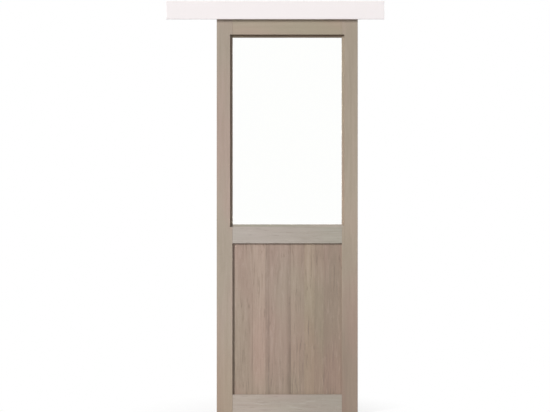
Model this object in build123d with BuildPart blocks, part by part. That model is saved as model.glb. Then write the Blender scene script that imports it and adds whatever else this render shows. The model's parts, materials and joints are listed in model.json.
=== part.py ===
from build123d import *
import os

os.makedirs("parts", exist_ok=True)

# A half-glazed timber door leaf that hangs from a track behind a pelmet and slides sideways.
# Millimetres. +X is to the right seen from the room, +Y towards the wall, +Z up.
# The origin is on the floor, under the middle of the track, in the leaf's mid-plane.

# Leaf: outline and the place where it stands
leaf_width = 730
leaf_height = 2040
leaf_thickness = 40
floor_gap = 8
leaf_offset = 62

# Leaf: stiles and rails
stile_width = 82
top_rail_height = 95
mid_rail_height = 98
bottom_rail_height = 94
panel_daylight_height = 783
arris = 1
shoulder_arris = 0.5

# Leaf: dowels in the frame joints
dowel_radius = 5
dowel_length = 80
dowel_hole_extra = 1
dowel_clearance = 0.03

# Leaf: lower panel and the groove that holds it
panel_thickness = 16
panel_engagement = 9
panel_groove_clearance = 0.15
panel_end_clearance = 1.5

# Leaf: groove for the floor guide
guide_groove_width = 8
guide_groove_depth = 15

# Glazing: rebate, glass, seals and setting blocks
rebate_width = 13
rebate_lip = 10
glass_thickness = 5
glass_edge_clearance = 3
glass_arris = 0.6
seal_thickness = 2
seal_width = 9
seal_setback = 1
seal_joint = 0.2
setting_block_length = 60

# Glazing: mitred beads set deep in the rebate, and the pins that hold them
bead_setback = 14
bead_chamfer = 1.5
bead_pin_radius = 0.6
bead_pin_length = 25
bead_pin_sink = 1
bead_pin_clearance = 0.02
side_bead_pins = 4
cross_bead_pins = 2

# Hanger plates: folded hat-shaped steel, screwed to the leaf's top edge
hanger_inset = 130
plate_length = 90
plate_width = 30
plate_thickness = 2.5
plate_bend = 0.8
hat_length = 30
bolt_slot_clearance = 0.3
plate_screw_spacing_x = 68
plate_screw_spacing_y = 14
plate_screw_radius = 2
plate_screw_head_radius = 4
plate_screw_length = 30
plate_screw_tip = 4
screw_clearance = 0.05

# Hanger bolts and their lock nuts
hanger_bolt_radius = 4
hanger_bolt_head_flats = 13
hanger_bolt_head_height = 5.5
hanger_bolt_head_gap = 2
hanger_bolt_top_gap = 2
lock_nut_height = 5
lock_nut_to_track = 3
thread_clearance = 0.02

# Trolleys
axle_spacing = 36
trolley_height = 14
trolley_arm_width = 9
trolley_boss_width = 18
trolley_boss_gap = 1
trolley_nose = 2
trolley_corner = 4
axle_radius = 2.5
axle_head_radius = 3.5
axle_head_thickness = 0.6

# Wheels
wheel_radius = 9
wheel_tread = 5.5
wheel_bore_clearance = 0.05
wheel_hub_radius = 4.2
wheel_hub_inset = 2.2
wheel_side_clearance = 0.3
wheel_rim = 1.6
wheel_recess = 1.2
wheel_edge = 0.5
wheel_lift = 0.3
wheel_headroom = 2.2

# Track: extruded channel with a screw channel on top
track_inner_width = 28
track_wall = 2.2
track_lip_thickness = 3
track_slot_width = 11
track_nib_width = 1
track_nib_height = 1.5
track_corner = 1
nut_channel_width = 11
nut_channel_height = 6
nut_channel_opening = 7
nut_channel_lip = 2.2

# Wall brackets and the bolts that hold the track under them
bracket_count = 4
bracket_inset = 112.5
bracket_width = 40
bracket_thickness = 3
bracket_height = 25
bracket_bend = 2
wall_gap = 12
wall_hole_radius = 3.25
driver_hole_radius = 6
track_bolt_radius = 3
track_bolt_hole_clearance = 0.3
track_bolt_head_flats = 10
track_bolt_head_height = 4
track_nut_width = 10
track_nut_height = 5
track_bolt_end_gap = 0.5

# Pelmet
pelmet_length = 1125
pelmet_board = 12
pelmet_gap = 6
pelmet_overlap = 5
pelmet_edge = 1.5
pelmet_end_clearance = 4
track_end_gap = 0.5
pelmet_screw_spacing = 28
pelmet_screw_radius = 1.75
pelmet_screw_head_radius = 3.5
pelmet_screw_head_height = 2.2
pelmet_screw_bite = 9
pelmet_screw_hole_extra = 0.5

# End stops
stop_length = 28
stop_side_clearance = 0.4
stop_corner = 1.5
buffer_radius = 7
buffer_thickness = 6
buffer_stem_radius = 3
buffer_stem_length = 5
buffer_edge = 1.5
stop_running_gap = 0.5
stop_screw_radius = 2.5
stop_screw_socket_flats = 2.5
stop_screw_socket_depth = 2.5
stop_screw_height = 17

# Floor guide
guide_base_length = 80
guide_base_width = 28
guide_base_thickness = 4
guide_base_corner = 5
guide_base_edge = 1
guide_fin_length = 44
guide_side_clearance = 0.5
guide_fin_height = 14
guide_fin_edge = 1
guide_hole_spacing = 64
guide_hole_radius = 2.25
guide_sink_radius = 4.5
countersink_angle = 90

# Leaf: places that follow from the sizes above
leaf_bottom = floor_gap
leaf_top = leaf_bottom + leaf_height
leaf_left = leaf_offset - leaf_width / 2
leaf_right = leaf_offset + leaf_width / 2
leaf_front = -leaf_thickness / 2
leaf_back = leaf_thickness / 2
rail_left = leaf_left + stile_width
rail_right = leaf_right - stile_width
rail_length = rail_right - rail_left
panel_low = leaf_bottom + bottom_rail_height
panel_high = panel_low + panel_daylight_height
glass_low = panel_high + mid_rail_height
glass_high = leaf_top - top_rail_height

# Groove and rebate that the panel and the glass sit in
panel_groove_depth = panel_engagement + panel_end_clearance
panel_groove_width = panel_thickness + 2 * panel_groove_clearance
pocket_left = rail_left - rebate_width
pocket_right = rail_right + rebate_width
pocket_low = glass_low - rebate_width
pocket_high = glass_high + rebate_width
pocket_back = leaf_back - rebate_lip
glass_back = pocket_back - seal_thickness
glass_front = glass_back - glass_thickness
bead_back = glass_front - seal_thickness
bead_front = leaf_front + bead_setback

# Bead section, as distances in from the pocket's wall and places across the leaf
bead_nose = bead_front + bead_chamfer
bead_section = (
    (0, bead_back),
    (0, bead_front),
    (rebate_width - bead_chamfer, bead_front),
    (rebate_width, bead_nose),
    (rebate_width, bead_back),
)
bead_pin_y = (bead_nose + bead_back) / 2

# Heights of the hanging gear and the track, from the leaf's top edge up
hat_underside = leaf_top + hanger_bolt_head_gap + hanger_bolt_head_height
hat_top = hat_underside + plate_thickness
lock_nut_top = hat_top + lock_nut_height
track_bottom = lock_nut_top + lock_nut_to_track
running_surface = track_bottom + track_lip_thickness
axle_height = running_surface + wheel_lift + wheel_radius
track_ceiling = axle_height + wheel_radius + wheel_headroom
nut_channel_floor = track_ceiling + track_wall
nut_channel_top = nut_channel_floor + nut_channel_height
track_top = nut_channel_top + nut_channel_lip
bracket_web_top = track_top + bracket_thickness
bracket_top = track_top + bracket_height
pelmet_top = bracket_top + pelmet_board
pelmet_bottom = leaf_top - pelmet_overlap
bolt_top = axle_height + trolley_height / 2 - hanger_bolt_top_gap

# Places across the thickness of the assembly
wall_face = leaf_back + wall_gap
pelmet_back = leaf_front - pelmet_gap
arm_half = trolley_arm_width / 2
hub_inner = arm_half + wheel_side_clearance
tread_inner = hub_inner + wheel_hub_inset
tread_outer = tread_inner + wheel_tread
hub_outer = tread_outer + wheel_side_clearance
axle_head_inner = hub_outer + wheel_side_clearance / 3
axle_end = axle_head_inner + axle_head_thickness

# Places along the track
hanger_reach = leaf_width / 2 - hanger_inset
hanger_left = leaf_offset - hanger_reach
hanger_right = leaf_offset + hanger_reach
trolley_reach = axle_spacing / 2 + wheel_radius + trolley_nose
track_half = pelmet_length / 2 - pelmet_board - track_end_gap
leaf_travel = (pelmet_length - leaf_width) / 2
buffer_face = leaf_travel + hanger_reach + trolley_reach + stop_running_gap
bracket_first = bracket_inset - pelmet_length / 2
bracket_spacing = (pelmet_length - 2 * bracket_inset) / (bracket_count - 1)
bracket_places = [bracket_first + index * bracket_spacing for index in range(bracket_count)]
wall_hole_height = (bracket_web_top + bracket_top) / 2


def rectangle_between(left, right, low, high, mode=Mode.ADD):
    """A rectangle given by its four edges, in the current sketch."""
    with Locations(((left + right) / 2, (low + high) / 2)):
        Rectangle(right - left, high - low, mode=mode)


def rod(places, radius, length, mode=Mode.ADD):
    """Round rods or bores that start at each place and run along its Z direction."""
    with Locations(*places):
        Cylinder(radius, length, align=(Align.CENTER, Align.CENTER, Align.MIN), mode=mode)


def dowel_heights(low, high):
    """The two dowel rows of a joint, a quarter of the solid timber in from each side."""
    inset = (high - low) / 4
    return (low + inset, high - inset)


# Dowel rows, kept clear of the guide groove, the panel groove, the rebates and the hanger screws
bottom_rows = dowel_heights(leaf_bottom + guide_groove_depth, panel_low - panel_groove_depth)
mid_rows = dowel_heights(panel_high + panel_groove_depth, pocket_low)
top_rows = dowel_heights(pocket_high, leaf_top - plate_screw_length)
all_rows = (*bottom_rows, *mid_rows, *top_rows)


def dowel_places(joint_x, rows, length):
    """Planes square to the joint, at the left end of rods that are centred on it."""
    start = joint_x - length / 2
    return [Plane((start, 0, height), x_dir=(0, 1, 0), z_dir=(1, 0, 0)) for height in rows]


def even_places(low, high, count):
    """Places spread evenly between two ends, half a step in from each."""
    step = (high - low) / count
    return [low + (index + 0.5) * step for index in range(count)]


def pin_planes(side):
    """Where each pin enters a bead's inner face, with Z pointing out of the opening."""
    heights = even_places(glass_low, glass_high, side_bead_pins)
    places = even_places(rail_left, rail_right, cross_bead_pins)
    if side == "left":
        return [Plane((rail_left, bead_pin_y, height), z_dir=(-1, 0, 0)) for height in heights]
    if side == "right":
        return [Plane((rail_right, bead_pin_y, height), z_dir=(1, 0, 0)) for height in heights]
    if side == "top":
        return [Plane((place, bead_pin_y, glass_high), z_dir=(0, 0, 1)) for place in places]
    return [Plane((place, bead_pin_y, glass_low), z_dir=(0, 0, -1)) for place in places]


def bore_bead_pins(side):
    """The pin holes of one side of the glass, cut from the current part."""
    depth = bead_pin_sink + bead_pin_length
    rod(pin_planes(side), bead_pin_radius + bead_pin_clearance, depth, Mode.SUBTRACT)


def bore_dowels(joint_x, rows):
    """The dowel holes of a joint, cut from the current part."""
    length = dowel_length + 2 * dowel_hole_extra
    places = dowel_places(joint_x, rows, length)
    rod(places, dowel_radius + dowel_clearance, length, Mode.SUBTRACT)


# Stiles: full height, rebated for the glass, grooved for the panel and for the floor guide
def make_stile(side, inner_edge, outer_edge):
    low_edge, high_edge = sorted((inner_edge, outer_edge))
    outward = Align.MIN if outer_edge > inner_edge else Align.MAX
    with BuildPart() as stile:
        with BuildSketch(Plane.XY.offset(leaf_bottom)) as section:
            rectangle_between(low_edge, high_edge, leaf_front, leaf_back)
            chamfer(section.vertices(), arris)
        extrude(amount=leaf_height)
        with BuildSketch(Plane.XY.offset(pocket_low)):
            with Locations((inner_edge, leaf_front)):
                Rectangle(rebate_width, pocket_back - leaf_front, align=(outward, Align.MIN))
        extrude(amount=pocket_high - pocket_low, mode=Mode.SUBTRACT)
        with BuildSketch(Plane.XY.offset(panel_low - panel_groove_depth)):
            with Locations((inner_edge, 0)):
                Rectangle(panel_groove_depth, panel_groove_width, align=(outward, Align.CENTER))
        extrude(amount=panel_daylight_height + 2 * panel_groove_depth, mode=Mode.SUBTRACT)
        with BuildSketch(Plane.YZ.offset(low_edge)):
            half = guide_groove_width / 2
            rectangle_between(-half, half, leaf_bottom, leaf_bottom + guide_groove_depth)
        extrude(amount=stile_width, mode=Mode.SUBTRACT)
        bore_dowels(inner_edge, all_rows)
        bore_bead_pins(side)
    return stile.part


left_stile = make_stile("left", rail_left, leaf_left)
left_stile.label = "left_stile"
export_step(left_stile, "parts/left_stile.step")

right_stile = make_stile("right", rail_right, leaf_right)
right_stile.label = "right_stile"
export_step(right_stile, "parts/right_stile.step")

# Plate screw places, on the leaf's top edge and pointing down into it
plate_screw_planes = [
    Plane((hanger + across, along, leaf_top), z_dir=(0, 0, -1))
    for hanger in (hanger_left, hanger_right)
    for across in (-plate_screw_spacing_x / 2, plate_screw_spacing_x / 2)
    for along in (-plate_screw_spacing_y / 2, plate_screw_spacing_y / 2)
]

# Top rail: rebated below for the glass, and drilled above for the hanger plates' screws
with BuildPart() as top_rail:
    with BuildSketch(Plane.YZ.offset(rail_left)) as section:
        rectangle_between(leaf_front, leaf_back, glass_high, leaf_top)
        chamfer(section.vertices(), arris)
        rectangle_between(leaf_front, pocket_back, glass_high, pocket_high, Mode.SUBTRACT)
    extrude(amount=rail_length)
    ends = top_rail.edges().filter_by(Axis.Z).group_by(Axis.Y)
    chamfer(ends[0] + ends[-1], shoulder_arris)
    bore_dowels(rail_left, top_rows)
    bore_dowels(rail_right, top_rows)
    bore_bead_pins("top")
    rod(plate_screw_planes, plate_screw_radius + screw_clearance, plate_screw_length, Mode.SUBTRACT)
top_rail.part.label = "top_rail"
export_step(top_rail.part, "parts/top_rail.step")

# Mid rail: rebated above for the glass and grooved below for the panel
with BuildPart() as mid_rail:
    with BuildSketch(Plane.YZ.offset(rail_left)) as section:
        rectangle_between(leaf_front, leaf_back, panel_high, glass_low)
        chamfer(section.vertices(), arris)
        rectangle_between(leaf_front, pocket_back, pocket_low, glass_low, Mode.SUBTRACT)
        half = panel_groove_width / 2
        rectangle_between(-half, half, panel_high, panel_high + panel_groove_depth, Mode.SUBTRACT)
    extrude(amount=rail_length)
    ends = mid_rail.edges().filter_by(Axis.Z).group_by(Axis.Y)
    chamfer(ends[0] + ends[-1], shoulder_arris)
    bore_dowels(rail_left, mid_rows)
    bore_dowels(rail_right, mid_rows)
    bore_bead_pins("bottom")
mid_rail.part.label = "mid_rail"
export_step(mid_rail.part, "parts/mid_rail.step")

# Bottom rail: grooved above for the panel and below for the floor guide
with BuildPart() as bottom_rail:
    with BuildSketch(Plane.YZ.offset(rail_left)) as section:
        rectangle_between(leaf_front, leaf_back, leaf_bottom, panel_low)
        chamfer(section.vertices(), arris)
        half = panel_groove_width / 2
        rectangle_between(-half, half, panel_low - panel_groove_depth, panel_low, Mode.SUBTRACT)
        half = guide_groove_width / 2
        groove_top = leaf_bottom + guide_groove_depth
        rectangle_between(-half, half, leaf_bottom, groove_top, Mode.SUBTRACT)
    extrude(amount=rail_length)
    ends = bottom_rail.edges().filter_by(Axis.Z).group_by(Axis.Y)
    chamfer(ends[0] + ends[-1], shoulder_arris)
    bore_dowels(rail_left, bottom_rows)
    bore_dowels(rail_right, bottom_rows)
bottom_rail.part.label = "bottom_rail"
export_step(bottom_rail.part, "parts/bottom_rail.step")

# Dowels: two at each of the six frame joints
with BuildPart() as frame_dowels:
    for joint_x in (rail_left, rail_right):
        rod(dowel_places(joint_x, all_rows, dowel_length), dowel_radius, dowel_length)
frame_dowels.part.label = "frame_dowels"
export_step(frame_dowels.part, "parts/frame_dowels.step")

# Lower panel: held loosely in the grooves so that it can move with the seasons
with BuildPart() as lower_panel:
    with BuildSketch(Plane.XY.offset(panel_low - panel_engagement)):
        half = panel_thickness / 2
        rectangle_between(rail_left - panel_engagement, rail_right + panel_engagement, -half, half)
    extrude(amount=panel_daylight_height + 2 * panel_engagement)
lower_panel.part.label = "lower_panel"
export_step(lower_panel.part, "parts/lower_panel.step")

# Glass: one pane, its edges ground, held clear of the rebate all round
with BuildPart() as glass_pane:
    with BuildSketch(Plane.XZ.offset(-glass_front)):
        rectangle_between(
            pocket_left + glass_edge_clearance,
            pocket_right - glass_edge_clearance,
            pocket_low + glass_edge_clearance,
            pocket_high - glass_edge_clearance,
        )
    extrude(amount=-glass_thickness)
    faces = glass_pane.faces().filter_by(Axis.Y)
    chamfer(faces.edges(), glass_arris)
glass_pane.part.label = "glass_pane"
export_step(glass_pane.part, "parts/glass_pane.step")


# Glazing seals: tape in four lengths round each face, just hidden behind bead and lip
def make_seal(front):
    inner = seal_setback
    outer = seal_setback + seal_width
    cross_left = rail_left - inner + seal_joint
    cross_right = rail_right + inner - seal_joint
    with BuildPart() as seal:
        with BuildSketch(Plane.XZ.offset(-front)):
            rectangle_between(
                rail_left - outer, rail_left - inner, glass_low - outer, glass_high + outer
            )
            rectangle_between(
                rail_right + inner, rail_right + outer, glass_low - outer, glass_high + outer
            )
            rectangle_between(cross_left, cross_right, glass_low - outer, glass_low - inner)
            rectangle_between(cross_left, cross_right, glass_high + inner, glass_high + outer)
        extrude(amount=-seal_thickness)
    return seal.part


glazing_seal_front = make_seal(bead_back)
glazing_seal_front.label = "glazing_seal_front"
export_step(glazing_seal_front, "parts/glazing_seal_front.step")

glazing_seal_back = make_seal(glass_back)
glazing_seal_back.label = "glazing_seal_back"
export_step(glazing_seal_back, "parts/glazing_seal_back.step")

# Setting blocks: two under the glass, a quarter of its width in from each side
with BuildPart() as setting_blocks:
    with BuildSketch(Plane.XY.offset(pocket_low)):
        for place in even_places(pocket_left, pocket_right, 2):
            with Locations((place, (glass_front + glass_back) / 2)):
                Rectangle(setting_block_length, glass_thickness)
    extrude(amount=glass_edge_clearance)
setting_blocks.part.label = "setting_blocks"
export_step(setting_blocks.part, "parts/setting_blocks.step")


# Glazing beads: lengths of one chamfered section, each cut to its mitred outline
def make_bead(side, plane, profile, run, outline):
    with BuildPart() as bead:
        with BuildSketch(plane):
            with BuildLine():
                Polyline(*profile, close=True)
            make_face()
        extrude(amount=run)
        with BuildSketch(Plane.XZ.offset(-bead_front)):
            with BuildLine():
                Polyline(*outline, close=True)
            make_face()
        extrude(amount=bead_front - bead_back, mode=Mode.INTERSECT)
        bore_bead_pins(side)
    return bead.part


outer_corners = {
    "low_left": (pocket_left, pocket_low),
    "low_right": (pocket_right, pocket_low),
    "high_left": (pocket_left, pocket_high),
    "high_right": (pocket_right, pocket_high),
}
inner_corners = {
    "low_left": (rail_left, glass_low),
    "low_right": (rail_right, glass_low),
    "high_left": (rail_left, glass_high),
    "high_right": (rail_right, glass_high),
}


def mitred(first, second):
    """A bead's outline between two corners of the opening."""
    return (outer_corners[first], outer_corners[second], inner_corners[second], inner_corners[first])


bead_top = make_bead(
    "top",
    Plane.YZ.offset(pocket_left),
    [(depth, pocket_high - across) for across, depth in bead_section],
    pocket_right - pocket_left,
    mitred("high_left", "high_right"),
)
bead_top.label = "bead_top"
export_step(bead_top, "parts/bead_top.step")

bead_bottom = make_bead(
    "bottom",
    Plane.YZ.offset(pocket_left),
    [(depth, pocket_low + across) for across, depth in bead_section],
    pocket_right - pocket_left,
    mitred("low_left", "low_right"),
)
bead_bottom.label = "bead_bottom"
export_step(bead_bottom, "parts/bead_bottom.step")

bead_left = make_bead(
    "left",
    Plane.XY.offset(pocket_low),
    [(pocket_left + across, depth) for across, depth in bead_section],
    pocket_high - pocket_low,
    mitred("low_left", "high_left"),
)
bead_left.label = "bead_left"
export_step(bead_left, "parts/bead_left.step")

bead_right = make_bead(
    "right",
    Plane.XY.offset(pocket_low),
    [(pocket_right - across, depth) for across, depth in bead_section],
    pocket_high - pocket_low,
    mitred("low_right", "high_right"),
)
bead_right.label = "bead_right"
export_step(bead_right, "parts/bead_right.step")

# Bead pins: driven through the beads into the timber, their heads punched under the surface
with BuildPart() as bead_pins:
    for side in ("left", "right", "top", "bottom"):
        sunk = [plane.offset(bead_pin_sink) for plane in pin_planes(side)]
        rod(sunk, bead_pin_radius, bead_pin_length)
bead_pins.part.label = "bead_pins"
export_step(bead_pins.part, "parts/bead_pins.step")


# Hanger plates: one folded strip each, open to the front so that the bolt can slide in
def make_hanger_plate(hanger):
    middle = plate_thickness / 2
    flange = leaf_top + middle
    raised = hat_underside + middle
    riser = hat_length / 2 - middle
    with BuildPart() as plate:
        with BuildSketch(Plane.XZ.offset(-plate_width / 2)):
            with BuildLine() as fold:
                FilletPolyline(
                    (hanger - plate_length / 2, flange),
                    (hanger - riser, flange),
                    (hanger - riser, raised),
                    (hanger + riser, raised),
                    (hanger + riser, flange),
                    (hanger + plate_length / 2, flange),
                    radius=plate_bend + middle,
                )
            trace(line_width=plate_thickness)
        extrude(amount=plate_width)
        with BuildSketch(Plane.XY.offset(hat_underside)):
            slot_radius = hanger_bolt_radius + bolt_slot_clearance
            with Locations((hanger, 0)):
                Circle(slot_radius)
            rectangle_between(hanger - slot_radius, hanger + slot_radius, -plate_width / 2, 0)
        extrude(amount=plate_thickness, mode=Mode.SUBTRACT)
        with Locations((hanger, 0, leaf_top + plate_thickness)):
            with GridLocations(plate_screw_spacing_x, plate_screw_spacing_y, 2, 2):
                CounterSinkHole(
                    plate_screw_radius + screw_clearance,
                    plate_screw_head_radius + screw_clearance,
                    depth=plate_thickness,
                    counter_sink_angle=countersink_angle,
                )
    return plate.part


# Hanger bolts: hexagon head under the hat, shank up through the track's slot into the trolley
def make_hanger_bolt(hanger):
    with BuildPart() as bolt:
        with BuildSketch(Plane.XY.offset(hat_underside - hanger_bolt_head_height)):
            with Locations((hanger, 0)):
                RegularPolygon(hanger_bolt_head_flats / 2, 6, major_radius=False)
        extrude(amount=hanger_bolt_head_height)
        with BuildSketch(Plane.XY.offset(hat_underside)):
            with Locations((hanger, 0)):
                Circle(hanger_bolt_radius)
        extrude(amount=bolt_top - hat_underside)
    return bolt.part


# Lock nuts: screwed down on the hat to fix the leaf's height
def make_lock_nut(hanger):
    with BuildPart() as nut:
        with BuildSketch(Plane.XY.offset(hat_top)):
            with Locations((hanger, 0)):
                RegularPolygon(hanger_bolt_head_flats / 2, 6, major_radius=False)
                Circle(hanger_bolt_radius + thread_clearance, mode=Mode.SUBTRACT)
        extrude(amount=lock_nut_height)
    return nut.part


# Trolley bodies: a cast arm that carries the axles, with a boss that the bolt screws into
def make_trolley_body(hanger):
    with BuildPart() as body:
        with BuildSketch(Plane.XZ.offset(-arm_half)):
            with Locations((hanger, axle_height)):
                RectangleRounded(2 * trolley_reach, trolley_height, trolley_corner)
        extrude(amount=trolley_arm_width)
        boss_half = axle_spacing / 2 - wheel_radius - trolley_boss_gap
        with BuildSketch(Plane.XY.offset(axle_height - trolley_height / 2)) as boss:
            half = trolley_boss_width / 2
            rectangle_between(hanger - boss_half, hanger + boss_half, -half, half)
            fillet(boss.vertices(), trolley_corner / 2)
        extrude(amount=trolley_height)
        with Locations((hanger, 0, axle_height)):
            Hole(hanger_bolt_radius + thread_clearance)
        starts = [
            Plane((hanger + along, -arm_half, axle_height), z_dir=(0, 1, 0))
            for along in (-axle_spacing / 2, axle_spacing / 2)
        ]
        rod(starts, axle_radius + thread_clearance, trolley_arm_width, Mode.SUBTRACT)
    return body.part


# Axles: two riveted pins a trolley, each with a wheel on both ends
def make_axles(hanger):
    with BuildPart() as axles:
        for along in (-axle_spacing / 2, axle_spacing / 2):
            starts = [Plane((hanger + along, -axle_head_inner, axle_height), z_dir=(0, 1, 0))]
            rod(starts, axle_radius, 2 * axle_head_inner)
            for head_start in (-axle_end, axle_head_inner):
                heads = [Plane((hanger + along, head_start, axle_height), z_dir=(0, 1, 0))]
                rod(heads, axle_head_radius, axle_head_thickness)
    return axles.part


# Wheels: turned nylon, with a long hub that spaces the tread off the arm
def make_wheel(place, front_or_back):
    rim_inner = wheel_radius - wheel_rim
    bore = axle_radius + wheel_bore_clearance
    profile = [
        (hub_inner, bore),
        (hub_outer, bore),
        (hub_outer, wheel_hub_radius),
        (tread_outer - wheel_recess, wheel_hub_radius),
        (tread_outer - wheel_recess, rim_inner),
        (tread_outer, rim_inner),
        (tread_outer, wheel_radius - wheel_edge),
        (tread_outer - wheel_edge, wheel_radius),
        (tread_inner + wheel_edge, wheel_radius),
        (tread_inner, wheel_radius - wheel_edge),
        (tread_inner, rim_inner),
        (tread_inner + wheel_recess, rim_inner),
        (tread_inner + wheel_recess, wheel_hub_radius),
        (hub_inner, wheel_hub_radius),
    ]
    outline = [(front_or_back * across, radius) for across, radius in profile]
    with BuildPart() as wheel:
        with BuildSketch(Plane((place, 0, axle_height), x_dir=(0, 1, 0), z_dir=(1, 0, 0))):
            with BuildLine():
                Polyline(*outline, close=True)
            make_face()
        revolve(axis=Axis((place, 0, axle_height), (0, 1, 0)))
    return wheel.part


# The two sets of hanging gear, and each set's four wheels. Outer is towards the leaf's edge
for side, hanger, outward in (("left", hanger_left, -1), ("right", hanger_right, 1)):
    hanger_plate = make_hanger_plate(hanger)
    hanger_plate.label = f"hanger_plate_{side}"
    export_step(hanger_plate, f"parts/hanger_plate_{side}.step")
    hanger_bolt = make_hanger_bolt(hanger)
    hanger_bolt.label = f"hanger_bolt_{side}"
    export_step(hanger_bolt, f"parts/hanger_bolt_{side}.step")
    lock_nut = make_lock_nut(hanger)
    lock_nut.label = f"lock_nut_{side}"
    export_step(lock_nut, f"parts/lock_nut_{side}.step")
    trolley_body = make_trolley_body(hanger)
    trolley_body.label = f"trolley_body_{side}"
    export_step(trolley_body, f"parts/trolley_body_{side}.step")
    trolley_axles = make_axles(hanger)
    trolley_axles.label = f"trolley_axles_{side}"
    export_step(trolley_axles, f"parts/trolley_axles_{side}.step")
    for place_name, along in (("outer", outward), ("inner", -outward)):
        for row_name, row in (("front", -1), ("back", 1)):
            wheel = make_wheel(hanger + along * axle_spacing / 2, row)
            wheel.label = f"wheel_{side}_{place_name}_{row_name}"
            export_step(wheel, f"parts/wheel_{side}_{place_name}_{row_name}.step")

# Hanger plate screws: countersunk, flush with the plate, with a tapered point
with BuildPart() as hanger_plate_screws:
    for plane in plate_screw_planes:
        head_plane = plane.offset(-plate_thickness)
        head_height = plate_screw_head_radius - plate_screw_radius
        with BuildSketch(Plane(head_plane.origin, x_dir=(1, 0, 0), z_dir=(0, -1, 0))):
            with BuildLine():
                Polyline(
                    (0, 0),
                    (plate_screw_head_radius, 0),
                    (plate_screw_radius, -head_height),
                    (plate_screw_radius, plate_screw_tip - plate_screw_length),
                    (0, -plate_screw_length),
                    close=True,
                )
            make_face()
        revolve(axis=Axis(head_plane.origin, (0, 0, 1)))
hanger_plate_screws.part.label = "hanger_plate_screws"
export_step(hanger_plate_screws.part, "parts/hanger_plate_screws.step")

# Track: one extrusion, with running lips below and a channel for square nuts on top
with BuildPart() as track:
    with BuildSketch(Plane.YZ.offset(-track_half)) as section:
        channel = track_inner_width / 2
        slot = track_slot_width / 2
        nib = slot + track_nib_width
        cavity = nut_channel_width / 2
        mouth = nut_channel_opening / 2
        side_wall = channel + track_wall
        head_wall = cavity + track_wall
        rectangle_between(-side_wall, side_wall, track_bottom, nut_channel_floor)
        fillet(section.vertices(), track_corner)
        rectangle_between(-head_wall, head_wall, track_ceiling, track_top)
        rectangle_between(-channel, channel, running_surface, track_ceiling, Mode.SUBTRACT)
        rectangle_between(-nib, nib, running_surface, running_surface + track_nib_height)
        rectangle_between(
            -slot, slot, track_bottom, running_surface + track_nib_height, Mode.SUBTRACT
        )
        rectangle_between(-cavity, cavity, nut_channel_floor, nut_channel_top, Mode.SUBTRACT)
        rectangle_between(-mouth, mouth, nut_channel_top, track_top, Mode.SUBTRACT)
    extrude(amount=2 * track_half)
track.part.label = "track"
export_step(track.part, "parts/track.step")

# Wall brackets: folded steel, with the wall hole facing a driver hole in the front flange
for number, place in enumerate(bracket_places, start=1):
    with BuildPart() as wall_bracket:
        middle = bracket_thickness / 2
        with BuildSketch(Plane.YZ.offset(place - bracket_width / 2)):
            with BuildLine():
                FilletPolyline(
                    (pelmet_back + middle, bracket_top),
                    (pelmet_back + middle, track_top + middle),
                    (wall_face - middle, track_top + middle),
                    (wall_face - middle, bracket_top),
                    radius=bracket_bend + middle,
                )
            trace(line_width=bracket_thickness)
        extrude(amount=bracket_width)
        wall_hole = Plane((place, wall_face - bracket_thickness, wall_hole_height), z_dir=(0, 1, 0))
        rod([wall_hole], wall_hole_radius, bracket_thickness, Mode.SUBTRACT)
        driver_hole = Plane((place, pelmet_back, wall_hole_height), z_dir=(0, 1, 0))
        rod([driver_hole], driver_hole_radius, bracket_thickness, Mode.SUBTRACT)
        pelmet_holes = [
            Plane((place + along, pelmet_back, wall_hole_height), z_dir=(0, 1, 0))
            for along in (-pelmet_screw_spacing / 2, pelmet_screw_spacing / 2)
        ]
        hole_radius = pelmet_screw_radius + screw_clearance
        rod(pelmet_holes, hole_radius, bracket_thickness, Mode.SUBTRACT)
        with Locations((place, 0, bracket_web_top)):
            Hole(track_bolt_radius + track_bolt_hole_clearance, depth=bracket_thickness)
    wall_bracket.part.label = f"wall_bracket_{number}"
    export_step(wall_bracket.part, f"parts/wall_bracket_{number}.step")

# Bracket bolts: from above, down into the track's nut channel
track_nut_bottom = nut_channel_top - track_nut_height
bolt_end = track_nut_bottom - track_bolt_end_gap
with BuildPart() as bracket_bolts:
    for place in bracket_places:
        with BuildSketch(Plane.XY.offset(bracket_web_top)):
            with Locations((place, 0)):
                RegularPolygon(track_bolt_head_flats / 2, 6, major_radius=False)
        extrude(amount=track_bolt_head_height)
        with BuildSketch(Plane.XY.offset(bolt_end)):
            with Locations((place, 0)):
                Circle(track_bolt_radius)
        extrude(amount=bracket_web_top - bolt_end)
bracket_bolts.part.label = "bracket_bolts"
export_step(bracket_bolts.part, "parts/bracket_bolts.step")

# Track nuts: square, held from turning by the channel, pulled up under its lips
with BuildPart() as track_nuts:
    with BuildSketch(Plane.XY.offset(track_nut_bottom)):
        for place in bracket_places:
            with Locations((place, 0)):
                Rectangle(track_nut_width, track_nut_width)
                Circle(track_bolt_radius + thread_clearance, mode=Mode.SUBTRACT)
    extrude(amount=track_nut_height)
track_nuts.part.label = "track_nuts"
export_step(track_nuts.part, "parts/track_nuts.step")

# Pelmet front board: its front arrises rounded, drilled from behind for the screws
pelmet_screw_planes = [
    Plane((place + along, pelmet_back + bracket_thickness, wall_hole_height), z_dir=(0, -1, 0))
    for place in bracket_places
    for along in (-pelmet_screw_spacing / 2, pelmet_screw_spacing / 2)
]
with BuildPart() as pelmet_front:
    with BuildSketch(Plane.YZ.offset(-pelmet_length / 2)):
        rectangle_between(pelmet_back - pelmet_board, pelmet_back, pelmet_bottom, pelmet_top)
    extrude(amount=pelmet_length)
    front_face = pelmet_front.faces().sort_by(Axis.Y)[0]
    fillet(front_face.edges(), pelmet_edge)
    hole_depth = bracket_thickness + pelmet_screw_bite + pelmet_screw_hole_extra
    rod(pelmet_screw_planes, pelmet_screw_radius + screw_clearance, hole_depth, Mode.SUBTRACT)
pelmet_front.part.label = "pelmet_front"
export_step(pelmet_front.part, "parts/pelmet_front.step")

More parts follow.
